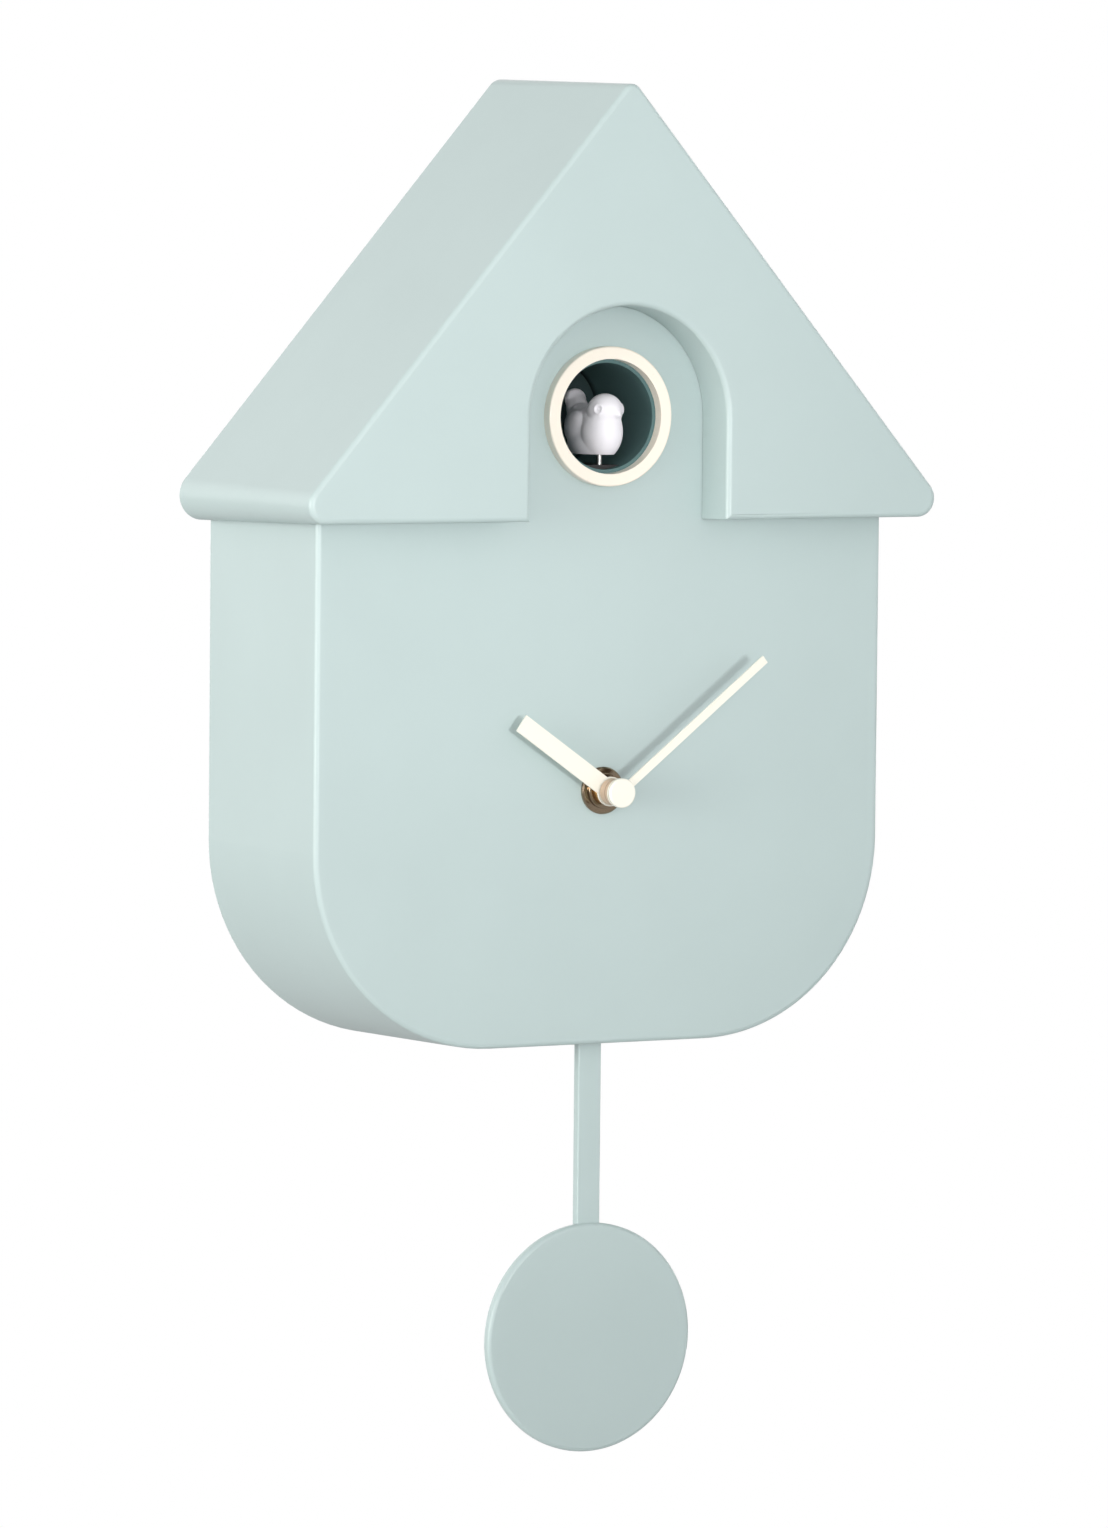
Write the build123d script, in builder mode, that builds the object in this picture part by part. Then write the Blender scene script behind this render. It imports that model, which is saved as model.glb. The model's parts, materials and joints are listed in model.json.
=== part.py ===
from build123d import *
import math
import os

# Wall-hanging cuckoo clock with a quartz movement, a swinging pendulum and a bird on a rack.
# Frame: millimetres, +Z up, the dial faces -Y and the wall plane is Y = 0.
# The origin is the centre of the hanger's keyhole.  Depths are counted forward from the wall.

# ---- driving dimensions ----------------------------------------------------------------------
EAVE_Z = -85.0              # underside of the eaves at the front
ROOF_HALF = 109.95          # sharp half width of the gable at the eaves, front
ROOF_RISE = 127.3           # sharp height of the gable, front
ROOF_FRONT = 80.0           # depth of the roof's front face
ROOF_APEX_R = 3.2
ROOF_EAVE_R = 5.5
BODY_HALF = 93.6            # half width of the body, front
BODY_DROP = 153.1           # height of the body below the eaves, front
BODY_FRONT = 65.0           # depth of the body's front face
BODY_CORNER_R = 57.9
WALL = 2.5                  # wall of both mouldings
EDGE_R = 1.5                # rounded front edges
DRAFT = 1.3                 # degrees, both mouldings widen towards the wall
LIP = 2.2                   # how far the body's walls reach up inside the roof
SEAT_GAP = 0.2              # gap between body and roof mouldings

ARCH_HALF = 32.5            # arched recess in the roof's front
ARCH_Z = EAVE_Z + 29.4
RING_Z = EAVE_Z + 29.7      # axis of the bird's round opening
RING_R = 20.3
RING_MOUTH_R = 16.7
RING_PROUD = 3.4
HANDS_Z = EAVE_Z - 79.0     # axis of the hands
PIVOT_Z = EAVE_Z - 112.0    # axis the pendulum swings about
BOB_Z = EAVE_Z - 239.9
BOB_R = 33.66
BOB_THICK = 3.5
BOB_FRONT = 61.0
ROD_W = 7.5
ROD_FRONT = 59.6
ROD_THICK = 3.0

HOUR_DEG = 145.2            # hand directions, counter-clockwise from +X as seen from the front
MINUTE_DEG = 38.3
HOUR_LENGTH = 36.1
HOUR_W = 5.5
MINUTE_LENGTH = 61.1
MINUTE_W = 2.5
HAND_THICK = 0.6
HOUR_FRONT = 70.5           # depth of the hour hand's face
MINUTE_FRONT = 76.5
CAP_FRONT = 77.7
CAP_R = 4.3

COVER_FRONT = 3.4           # rear cover, inset from the wall
COVER_BACK = 0.9

PLATE_BACK = BODY_FRONT - WALL                      # inner face of the front plate
HALF_APEX = math.atan(ROOF_HALF / ROOF_RISE)
GROWTH = math.tan(math.radians(DRAFT))              # outward growth per millimetre of depth
RUN = 0.05                                          # radial clearance of a running fit

os.makedirs("parts", exist_ok=True)


def at(depth):
    """Plane facing forward at a depth from the wall; its x is X and its y is Z."""
    return Plane.XZ.offset(depth)


def save(builder, name):
    """Label a finished piece and write it as one STEP file."""
    builder.part.label = name
    export_step(builder.part, f"parts/{name}.step")


def gable(inset, base_z, corner_r, apex_r):
    """Gable face in the active sketch, its slopes moved inwards by inset."""
    half = ROOF_HALF - inset / math.cos(HALF_APEX)
    apex = EAVE_Z + ROOF_RISE - inset / math.sin(HALF_APEX)
    foot = half - (base_z - EAVE_Z) * math.tan(HALF_APEX)
    with BuildLine() as outline:
        Polyline((-foot, base_z), (foot, base_z), (0, apex), close=True)
    make_face(outline.edges())
    points = vertices().sort_by(Axis.Y)
    fillet(points[:2], corner_r)
    fillet(vertices().sort_by(Axis.Y)[-1], apex_r)


def tub(half, bottom_z, corner_r, top_z):
    """Round-bottomed upright face in the active sketch."""
    with BuildLine() as outline:
        Polyline((-half, bottom_z), (half, bottom_z), (half, top_z), (-half, top_z), close=True)
    make_face(outline.edges())
    fillet(vertices().group_by(Axis.Y)[0], corner_r)


def arch(half, foot_z):
    """Round-topped doorway face in the active sketch."""
    with BuildLine() as outline:
        Line((-half, foot_z), (-half, ARCH_Z))
        ThreePointArc((-half, ARCH_Z), (0, ARCH_Z + half), (half, ARCH_Z))
        Line((half, ARCH_Z), (half, foot_z))
        Line((half, foot_z), (-half, foot_z))
    make_face(outline.edges())


def disc(x, z, radius):
    """Round face in the active sketch."""
    with Locations((x, z)):
        Circle(radius)


def block(x0, x1, z0, z1):
    """Rectangular face in the active sketch, given by its limits."""
    with Locations(((x0 + x1) / 2, (z0 + z1) / 2)):
        Rectangle(x1 - x0, z1 - z0)


def polar(radius, degrees_):
    return (radius * math.cos(math.radians(degrees_)), radius * math.sin(math.radians(degrees_)))


PRESSURE = math.radians(25)
TOOTH_PLAY = 0.10           # thinning of every tooth at the pitch circle


def involute(angle):
    return math.tan(angle) - angle


def gear_face(teeth, module, phase=0.0, centre=(0.0, 0.0)):
    """Stub-tooth involute outline in the active sketch, one tooth pointing along phase."""
    pitch = teeth * module / 2
    base = pitch * math.cos(PRESSURE)
    tip = pitch + 0.8 * module
    root = pitch - module
    half_pitch = math.pi / (2 * teeth) - TOOTH_PLAY / (2 * pitch)

    def half_angle(radius):
        roll = math.acos(min(1.0, base / max(radius, base)))
        return math.degrees(half_pitch + involute(PRESSURE) - involute(roll))

    def spot(radius, degrees_):
        x, y = polar(radius, degrees_)
        return (centre[0] + x, centre[1] + y)

    step = 360.0 / teeth
    middle = (max(root, base) + tip) / 2
    with BuildLine() as outline:
        for index in range(teeth):
            angle = phase + index * step
            foot = half_angle(root)
            crest = half_angle(tip)
            flank = half_angle(middle)
            ThreePointArc(spot(root, angle - foot), spot(middle, angle - flank), spot(tip, angle - crest))
            Line(spot(tip, angle - crest), spot(tip, angle + crest))
            ThreePointArc(spot(tip, angle + crest), spot(middle, angle + flank), spot(root, angle + foot))
            Line(spot(root, angle + foot), spot(root, angle + step - foot))
    make_face(outline.edges())


def cylinder(depth_back, depth_front, x, z, radius, mode=Mode.ADD):
    """Round bar along Y between two depths, in the active part."""
    with BuildSketch(at(depth_back)) as face:
        disc(x, z, radius)
    extrude(face.sketch, amount=depth_front - depth_back, mode=mode)


def slab(depth_back, depth_front, x0, x1, z0, z1, mode=Mode.ADD):
    """Rectangular block between two depths, in the active part."""
    with BuildSketch(at(depth_back)) as face:
        block(x0, x1, z0, z1)
    extrude(face.sketch, amount=depth_front - depth_back, mode=mode)


# ---- fastening points shared by the mouldings ------------------------------------------------
ROOF_BOSSES = [(-60, EAVE_Z + 14), (60, EAVE_Z + 14), (-22, EAVE_Z + 76), (22, EAVE_Z + 76)]
COVER_TOP = (0, EAVE_Z + 107)
COVER_BOSSES = [(-85, EAVE_Z - 25), (85, EAVE_Z - 25), (-52, EAVE_Z - 141), (52, EAVE_Z - 141)]
BRACKET_BOSSES = [(x, z) for x in (-23, 23) for z in (PIVOT_Z - 4, PIVOT_Z - 28)]
BOSS_R = 4.0
PILOT_R = 1.25              # pilot, its depth and the clearance hole of the case's screws
PILOT_DEPTH = 12.0
CLEAR_R = 1.7
SMALL_PILOT_R = 0.9         # the same for the small screws
SMALL_CLEAR_R = 1.1
LOW_BOSS = 5.0              # height of the bosses on the front plate's inner face
TUNNEL_SCREWS = [polar(20.6, a) for a in (90, 210, 330)]
MOTOR_SCREWS = [(-10, EAVE_Z - 12), (14, EAVE_Z - 12)]
BUSH_R = 3.95
SLOT_HALF = 11.0            # pendulum slot in the bottom

# ---- body moulding ---------------------------------------------------------------------------
with BuildPart() as body_shell:
    with BuildSketch(at(BODY_FRONT)):
        tub(BODY_HALF, EAVE_Z - BODY_DROP, BODY_CORNER_R, EAVE_Z + 30)
    extrude(amount=-BODY_FRONT, taper=-DRAFT)
    fillet(faces().sort_by(Axis.Y)[0].edges(), EDGE_R)
    inner = WALL - WALL * GROWTH
    with BuildSketch(at(PLATE_BACK)):
        tub(BODY_HALF - inner, EAVE_Z - BODY_DROP + inner, BODY_CORNER_R - inner, EAVE_Z + 20)
    extrude(amount=-PLATE_BACK, taper=-DRAFT, mode=Mode.SUBTRACT)
    slab(-1, BODY_FRONT + 1, -120, 120, EAVE_Z + LIP, EAVE_Z + 60, mode=Mode.SUBTRACT)
    with BuildSketch(at(PLATE_BACK)):
        with BuildLine():
            Polyline((-85, EAVE_Z - 5), (85, EAVE_Z - 5), (85, EAVE_Z + 16),
                     (16, EAVE_Z + 96), (-16, EAVE_Z + 96), (-85, EAVE_Z + 16), close=True)
        make_face()
    extrude(amount=WALL)
    for x, z in COVER_BOSSES:
        cylinder(COVER_FRONT, PLATE_BACK, x, z, BOSS_R)
        cylinder(COVER_FRONT, COVER_FRONT + PILOT_DEPTH, x, z, PILOT_R, mode=Mode.SUBTRACT)
    for x, z in BRACKET_BOSSES:
        cylinder(PLATE_BACK - LOW_BOSS, PLATE_BACK, x, z, 3.2)
        cylinder(PLATE_BACK - LOW_BOSS, PLATE_BACK + 0.5, x, z, 1.0, mode=Mode.SUBTRACT)
    for x, z in ROOF_BOSSES:
        cylinder(PLATE_BACK, BODY_FRONT, x, z, CLEAR_R, mode=Mode.SUBTRACT)
    for x, z in TUNNEL_SCREWS:
        cylinder(PLATE_BACK, PLATE_BACK + 2, x, RING_Z + z, SMALL_PILOT_R, mode=Mode.SUBTRACT)
    for x, z in MOTOR_SCREWS:
        cylinder(PLATE_BACK, PLATE_BACK + 2, x, z, SMALL_PILOT_R, mode=Mode.SUBTRACT)
    cylinder(PLATE_BACK, BODY_FRONT, 0, RING_Z, 18.0, mode=Mode.SUBTRACT)
    cylinder(PLATE_BACK, BODY_FRONT, 0, HANDS_Z, BUSH_R + 0.15, mode=Mode.SUBTRACT)
    slab(ROD_FRONT - ROD_THICK - 1.7, ROD_FRONT + 1.7, -SLOT_HALF, SLOT_HALF,
         EAVE_Z - BODY_DROP - 4, EAVE_Z - BODY_DROP + 4, mode=Mode.SUBTRACT)
save(body_shell, "body_shell")

# ---- roof moulding, with the arched recess and its wall --------------------------------------
with BuildPart() as roof_shell:
    with BuildSketch(at(ROOF_FRONT)):
        gable(0, EAVE_Z, ROOF_EAVE_R, ROOF_APEX_R)
    extrude(amount=-ROOF_FRONT, taper=-DRAFT)
    inner = WALL - WALL * GROWTH
    with BuildSketch(at(ROOF_FRONT - WALL)):
        gable(inner, EAVE_Z + inner, ROOF_EAVE_R - WALL, 1.0)
    extrude(amount=-(ROOF_FRONT - WALL), taper=-DRAFT, mode=Mode.SUBTRACT)
    with BuildSketch(at(BODY_FRONT + SEAT_GAP)):
        arch(ARCH_HALF + WALL, EAVE_Z + 1)
    extrude(amount=ROOF_FRONT - BODY_FRONT - SEAT_GAP)
    with BuildSketch(at(BODY_FRONT + SEAT_GAP)):
        block(-BODY_HALF - SEAT_GAP, BODY_HALF + SEAT_GAP, EAVE_Z - 10, EAVE_Z + LIP + 1)
    extrude(amount=-BODY_FRONT - 1, taper=-DRAFT, mode=Mode.SUBTRACT)
    with BuildSketch(at(BODY_FRONT - 1)):
        arch(ARCH_HALF, EAVE_Z - 10)
    extrude(amount=ROOF_FRONT, mode=Mode.SUBTRACT)
    fillet(faces().sort_by(Axis.Y)[0].edges(), EDGE_R)
    for x, z in ROOF_BOSSES:
        cylinder(BODY_FRONT, ROOF_FRONT - 1, x, z, BOSS_R)
        cylinder(BODY_FRONT, BODY_FRONT + 9, x, z, PILOT_R, mode=Mode.SUBTRACT)
    cylinder(COVER_FRONT, ROOF_FRONT - 1, *COVER_TOP, BOSS_R)
    cylinder(COVER_FRONT, COVER_FRONT + PILOT_DEPTH, *COVER_TOP, PILOT_R, mode=Mode.SUBTRACT)
save(roof_shell, "roof_shell")

# ---- rear cover, with its openings, posts and the hanger's well ------------------------------
COVER_HALF = 92.0
COVER_CORNER_R = 55.4
WELL = (-18, 18, -10, 16)                   # outside of the hanger's well: x and z limits
WELL_FRONT = 12.5
PLATE = (-16, 16, -8, 14)                   # hanger plate
PLATE_T = 1.5
PLATE_RECESS = COVER_BACK + PLATE_T + 0.1
POCKET = (-8, 8, -7, 13)                    # clear space for the wall screw's head
POCKET_FRONT = 11.0
HANGER_SCREWS = [(-12, 0), (12, 0)]
KNOB_Z = HANDS_Z + 12.0                     # axis of the setting knob
KNOB_R = 8.0
SPEAKER = (-48, EAVE_Z - 28)
SPEAKER_R = 20.0
DOOR = (-26, 26, EAVE_Z - 146, EAVE_Z - 84)
HINGE_Z = DOOR[2] + 1.6                     # axis of the battery door's lower tabs
HINGE_DEPTH = 2.5
HINGE_PIN_R = 0.8
HINGE_XS = (-18, 18)
BOARD = (-22, 70, EAVE_Z - 46, EAVE_Z - 14)
BOARD_BACK = 10.4
BOARD_T = 1.6
BOARD_POSTS = [(x, z) for x in (BOARD[0] + 4, BOARD[1] - 4) for z in (BOARD[2] + 4, BOARD[3] - 4)]
SWITCH = (34, EAVE_Z - 30)                  # volume slide switch
BUTTON = (56, EAVE_Z - 30)                  # test button
TRAY = (-24, 24, DOOR[2] + 2.2, DOOR[3] - 2.2)
TRAY_FRONT = 20.2

with BuildPart() as rear_cover:
    slope = math.tan(HALF_APEX)
    step_z = EAVE_Z + LIP + 2.2
    step_half = ROOF_HALF - 2.4 - (step_z - EAVE_Z) * slope
    with BuildSketch(at(COVER_BACK)):
        tub(COVER_HALF, EAVE_Z - BODY_DROP + 1.6, COVER_CORNER_R, step_z + 1)
        with BuildLine():
            Polyline((-step_half, step_z), (step_half, step_z), (0, step_z + step_half / slope),
                     close=True)
        make_face()
        fillet([vertices().sort_by(Axis.X)[0], vertices().sort_by(Axis.X)[-1]], 4)
    extrude(amount=COVER_FRONT - COVER_BACK)
    slab(COVER_FRONT, WELL_FRONT, *WELL)
    slab(COVER_BACK, PLATE_RECESS, PLATE[0] - 0.2, PLATE[1] + 0.2, PLATE[2] - 0.2, PLATE[3] + 0.2,
         mode=Mode.SUBTRACT)
    slab(COVER_BACK, POCKET_FRONT, *POCKET, mode=Mode.SUBTRACT)
    for x, z in HANGER_SCREWS:
        cylinder(PLATE_RECESS, PLATE_RECESS + 6, x, z, SMALL_PILOT_R, mode=Mode.SUBTRACT)
    for x, z in COVER_BOSSES + [COVER_TOP]:
        cylinder(COVER_BACK, COVER_FRONT, x, z, CLEAR_R, mode=Mode.SUBTRACT)
    cylinder(COVER_BACK, COVER_FRONT, 0, KNOB_Z, KNOB_R + 1.0, mode=Mode.SUBTRACT)
    with BuildSketch(at(COVER_BACK)):
        for radius, count in ((0, 1), (5, 6), (10, 12), (15, 18)):
            with Locations(SPEAKER):
                with PolarLocations(radius, count):
                    Circle(1.1)
    extrude(amount=COVER_FRONT - COVER_BACK, mode=Mode.SUBTRACT)
    for x, z in BOARD_POSTS:
        cylinder(COVER_FRONT, BOARD_BACK, x, z, 3.0)
        cylinder(COVER_FRONT + 1, BOARD_BACK, x, z, SMALL_PILOT_R, mode=Mode.SUBTRACT)
    slab(COVER_BACK, COVER_FRONT, SWITCH[0] - 6, SWITCH[0] + 6, SWITCH[1] - 2.3, SWITCH[1] + 2.3,
         mode=Mode.SUBTRACT)
    cylinder(COVER_BACK, COVER_FRONT, *BUTTON, 3.3, mode=Mode.SUBTRACT)
    slab(COVER_BACK, COVER_FRONT, *DOOR, mode=Mode.SUBTRACT)
    for x in HINGE_XS:
        # lug that carries one of the door's lower pins
        slab(COVER_BACK + 0.2, HINGE_DEPTH + 1.6, x - 2, x + 2, DOOR[2] - 2, HINGE_Z)
        with BuildSketch(Plane.YZ.offset(x - 2)):
            disc(-HINGE_DEPTH, HINGE_Z, 1.6)
        extrude(amount=4)
        with BuildSketch(Plane.YZ.offset(x - 2)):
            disc(-HINGE_DEPTH, HINGE_Z, HINGE_PIN_R + RUN)
        extrude(amount=4, mode=Mode.SUBTRACT)
    slab(COVER_BACK + 2.2, COVER_FRONT + 1.2, -26, 26, DOOR[3] - 1.5, DOOR[3] + 2)
save(rear_cover, "rear_cover")

with BuildPart() as battery_door:
    slab(COVER_BACK, COVER_BACK + 2, DOOR[0] + 0.3, DOOR[1] - 0.3, HINGE_Z + 0.8, DOOR[3] - 0.3)
    slab(COVER_BACK + 0.8, COVER_BACK + 2, DOOR[0] + 0.3, DOOR[1] - 0.3, HINGE_Z, HINGE_Z + 1)
    with BuildSketch(Plane.YZ.offset(DOOR[0] + 0.3)):
        disc(-HINGE_DEPTH, HINGE_Z, 1.3)
    extrude(amount=DOOR[1] - DOOR[0] - 0.6)
    for x in HINGE_XS:
        slab(0, WELL_FRONT, x - 2.3, x + 2.3, DOOR[2] - 1, HINGE_Z + 2.2, mode=Mode.SUBTRACT)
        with BuildSketch(Plane.YZ.offset(x - 3)):
            disc(-HINGE_DEPTH, HINGE_Z, HINGE_PIN_R)
        extrude(amount=6)
    slab(0, COVER_FRONT, -7, 7, DOOR[3] - 3, DOOR[3], mode=Mode.SUBTRACT)
save(battery_door, "battery_door")

# ---- hanger plate ----------------------------------------------------------------------------
KEYHOLE_R = 4.5
KEY_SLOT_R = 2.2
KEY_SLOT_TOP = 9.0
with BuildPart() as hanger_plate:
    slab(COVER_BACK, COVER_BACK + PLATE_T, *PLATE)
    fillet(edges().filter_by(Axis.Y), 2)
    cylinder(COVER_BACK, COVER_BACK + PLATE_T, 0, 0, KEYHOLE_R, mode=Mode.SUBTRACT)
    slab(COVER_BACK, COVER_BACK + PLATE_T, -KEY_SLOT_R, KEY_SLOT_R, 0, KEY_SLOT_TOP, mode=Mode.SUBTRACT)
    cylinder(COVER_BACK, COVER_BACK + PLATE_T, 0, KEY_SLOT_TOP, KEY_SLOT_R, mode=Mode.SUBTRACT)
    for x, z in HANGER_SCREWS:
        cylinder(COVER_BACK, COVER_BACK + PLATE_T, x, z, 1.2, mode=Mode.SUBTRACT)
save(hanger_plate, "hanger_plate")


CASE_SCREW = (1.2, 2.8)     # shank and head radius
SMALL_SCREW = (0.85, 1.9)


def screws(name, spots, seat, direction, size, length, head_h):
    """Group of pan-head screws along Y; seat is the depth under the head, +1 drives forward."""
    shank_r, head_r = size
    with BuildPart() as group:
        for x, z in spots:
            cylinder(seat, seat + direction * length, x, z, shank_r)
            cylinder(seat, seat - direction * head_h, x, z, head_r)
            top = seat - direction * head_h
            deep = seat - direction * head_h / 2
            slab(deep, top, x - head_r * 0.7, x + head_r * 0.7, z - 0.3, z + 0.3, mode=Mode.SUBTRACT)
            slab(deep, top, x - 0.3, x + 0.3, z - head_r * 0.7, z + head_r * 0.7, mode=Mode.SUBTRACT)
    save(group, name)


screws("hanger_screws", HANGER_SCREWS, COVER_BACK, 1, SMALL_SCREW, 7.0, 0.8)
screws("cover_screws", COVER_BOSSES + [COVER_TOP], COVER_BACK, 1, CASE_SCREW, 12.0, 0.8)
screws("roof_screws", ROOF_BOSSES, PLATE_BACK, 1, CASE_SCREW, 10.0, 1.6)
screws("tunnel_screws", [(x, RING_Z + z) for x, z in TUNNEL_SCREWS], PLATE_BACK - 1.6, 1,
       SMALL_SCREW, 3.4, 1.2)
screws("motor_bracket_screws", MOTOR_SCREWS, PLATE_BACK - 1.5, 1, SMALL_SCREW, 3.3, 1.2)
screws("pendulum_bracket_screws", BRACKET_BOSSES, PLATE_BACK - LOW_BOSS - 1.8, 1, SMALL_SCREW, 6.0, 1.2)
screws("board_screws", BOARD_POSTS, BOARD_BACK + BOARD_T, -1, SMALL_SCREW, 7.0, 1.2)

# ---- cuckoo's ring and tunnel ----------------------------------------------------------------
TUNNEL_R = 15.5
TUNNEL_OUT_R = 16.9
TUNNEL_BACK = 30.0
TUNNEL_MOUTH = 65.2
FLANGE_R = 23.5             # flange that holds the tunnel behind the front plate
FLANGE_BACK = PLATE_BACK - 1.6
RACK_HALF = 2.5             # half width of the bird's rack
with BuildPart() as cuckoo_ring:
    cylinder(PLATE_BACK, BODY_FRONT, 0, RING_Z, 17.9)
    cylinder(BODY_FRONT, BODY_FRONT + RING_PROUD, 0, RING_Z, RING_R)
    fillet(faces().sort_by(Axis.Y)[0].edges(), 0.5)
    with BuildSketch(at(BODY_FRONT + RING_PROUD)):
        disc(0, RING_Z, RING_MOUTH_R)
    extrude(amount=-RING_PROUD - 1, taper=3.5, mode=Mode.SUBTRACT)
    cylinder(PLATE_BACK - 1, TUNNEL_MOUTH + 0.1, 0, RING_Z, TUNNEL_OUT_R + 0.05, mode=Mode.SUBTRACT)
save(cuckoo_ring, "cuckoo_ring")

with BuildPart() as cuckoo_tunnel:
    cylinder(TUNNEL_BACK, TUNNEL_MOUTH, 0, RING_Z, TUNNEL_OUT_R)
    cylinder(FLANGE_BACK, PLATE_BACK, 0, RING_Z, FLANGE_R)
    cylinder(TUNNEL_BACK + 1.4, TUNNEL_MOUTH, 0, RING_Z, TUNNEL_R, mode=Mode.SUBTRACT)
    for x, z in TUNNEL_SCREWS:
        cylinder(FLANGE_BACK, PLATE_BACK, x, RING_Z + z, SMALL_CLEAR_R, mode=Mode.SUBTRACT)
    # slot for the carriage's web, and the rack's way past the flange
    slab(35.0, 57.5, -2.4, 2.4, RING_Z - 20, RING_Z - 10, mode=Mode.SUBTRACT)
    slab(FLANGE_BACK, PLATE_BACK, -RACK_HALF - 0.6, RACK_HALF + 0.6, RING_Z - FLANGE_R - 1,
         RING_Z - TUNNEL_OUT_R, mode=Mode.SUBTRACT)
save(cuckoo_tunnel, "cuckoo_tunnel")

# ---- bird on its carriage: runner in the tunnel, rack below it -------------------------------
RUNNER_TOP = RING_Z - 14.2
RACK_MODULE = 0.8
RACK_PITCH_Z = EAVE_Z + 8.0
RACK_TEETH = 7
PINION_TEETH = 12
PINION_DEPTH = 47.0
PINION_Z = RACK_PITCH_Z - PINION_TEETH * RACK_MODULE / 2
RACK_STEP = math.pi * RACK_MODULE
RACK_TOP = EAVE_Z + 12.5
RUNNER_BACK = 36.0
RUNNER_LENGTH = 27.0
with BuildPart() as bird_carriage:
    with BuildSketch(at(RUNNER_BACK)):
        disc(0, RING_Z, TUNNEL_R - 0.1)
        with Locations((0, RUNNER_TOP + 20)):
            Rectangle(40, 40, mode=Mode.SUBTRACT)
    extrude(amount=RUNNER_LENGTH)
    slab(36.5, 44.5, -2.2, 2.2, RACK_TOP - 0.5, RUNNER_TOP)
    slab(32, 50, -RACK_HALF, RACK_HALF, RACK_PITCH_Z + RACK_MODULE, RACK_TOP)
    with BuildSketch(Plane.YZ.offset(-RACK_HALF)):
        for index in range(RACK_TEETH):
            middle = -PINION_DEPTH + (index - 0.5) * RACK_STEP
            crown = RACK_PITCH_Z - 0.8 * RACK_MODULE
            root = RACK_PITCH_Z + RACK_MODULE
            half = RACK_STEP / 4 - TOOTH_PLAY / 2
            lean = math.tan(PRESSURE)
            wide = half + RACK_MODULE * lean
            thin = half - 0.8 * RACK_MODULE * lean
            with BuildLine():
                Polyline((middle - wide, root), (middle - thin, crown), (middle + thin, crown),
                         (middle + wide, root), (middle + wide, root + 0.2), (middle - wide, root + 0.2),
                         close=True)
            make_face()
    extrude(amount=2 * RACK_HALF)
save(bird_carriage, "bird_carriage")

PIN_R = 0.85
PIN_DEPTH = 61.5
BIRD_FOOT = EAVE_Z + 18.6
with BuildPart() as bird_pin:
    with BuildSketch(Plane.XY.offset(RUNNER_TOP)):
        disc(0, -PIN_DEPTH, PIN_R)
    extrude(amount=BIRD_FOOT + 2 - RUNNER_TOP)
save(bird_pin, "bird_pin")

BIRD_BACK = 46.4            # depth of the rump, breast and head of the bird
BIRD_BREAST = 70.0
BIRD_HEAD = (65.5, EAVE_Z + 31.2)
BIRD_BODY_Z = EAVE_Z + 24.5
BIRD_BODY_R = 5.9
BIRD_HEAD_R = 4.9
TAIL_HALF = 2.4
with BuildPart() as cuckoo_bird:
    cylinder(BIRD_BACK, BIRD_BREAST, 0, BIRD_BODY_Z, BIRD_BODY_R)
    fillet(edges().filter_by(GeomType.CIRCLE), 5.0)
    with Locations((0, -BIRD_HEAD[0], BIRD_HEAD[1])):
        Sphere(BIRD_HEAD_R)
    with BuildSketch(Plane.YZ.offset(-TAIL_HALF)):
        with BuildLine():
            Polyline((-55, EAVE_Z + 23), (-48, EAVE_Z + 37.2), (-44.2, EAVE_Z + 36.2),
                     (-48, EAVE_Z + 22), close=True)
        make_face()
        fillet(vertices(), 1.2)
    extrude(amount=2 * TAIL_HALF)
    with BuildSketch(Plane.XY.offset(BIRD_FOOT)):
        Rectangle(2 * BIRD_BREAST, 2 * BIRD_BREAST)
    extrude(amount=-BIRD_BODY_R, mode=Mode.SUBTRACT)
    with BuildSketch(Plane.XY.offset(BIRD_FOOT)):
        disc(0, -PIN_DEPTH, PIN_R)
    extrude(amount=2, mode=Mode.SUBTRACT)
save(cuckoo_bird, "cuckoo_bird")


def bar(x0, x1, depth, z, radius, mode=Mode.ADD):
    """Round bar along X, in the active part."""
    with BuildSketch(Plane.YZ.offset(x0)) as face:
        disc(-depth, z, radius)
    extrude(face.sketch, amount=x1 - x0, mode=mode)


# ---- drive of the bird: motor, its pinion, the compound wheel and their bracket --------------
WHEEL_TEETH = 30
MOTOR_TEETH = 10
DRIVE_MODULE = 0.5
MOTOR_DEPTH = PINION_DEPTH - (WHEEL_TEETH + MOTOR_TEETH) * DRIVE_MODULE / 2
AXLE_R = 1.0
with BuildPart() as drive_wheel:
    with BuildSketch(Plane.YZ.offset(-2.4)):
        gear_face(PINION_TEETH, RACK_MODULE, 90, (-PINION_DEPTH, PINION_Z))
    extrude(amount=7.4)
    with BuildSketch(Plane.YZ.offset(5)):
        gear_face(WHEEL_TEETH, DRIVE_MODULE, 0, (-PINION_DEPTH, PINION_Z))
    extrude(amount=2)
    bar(-4.2, -2.4, PINION_DEPTH, PINION_Z, 2.4)
    bar(7, 7.8, PINION_DEPTH, PINION_Z, 2.4)
    bar(-5, 9, PINION_DEPTH, PINION_Z, AXLE_R + RUN, mode=Mode.SUBTRACT)
save(drive_wheel, "drive_wheel")

with BuildPart() as drive_axle:
    bar(-6, 9.5, PINION_DEPTH, PINION_Z, AXLE_R)
save(drive_axle, "drive_axle")

with BuildPart() as motor_pinion:
    with BuildSketch(Plane.YZ.offset(4.6)):
        gear_face(MOTOR_TEETH, DRIVE_MODULE, 180 + 180 / MOTOR_TEETH, (-MOTOR_DEPTH, PINION_Z))
    extrude(amount=2.6)
    bar(7.2, 12.0, MOTOR_DEPTH, PINION_Z, 0.9)
save(motor_pinion, "motor_pinion")

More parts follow.
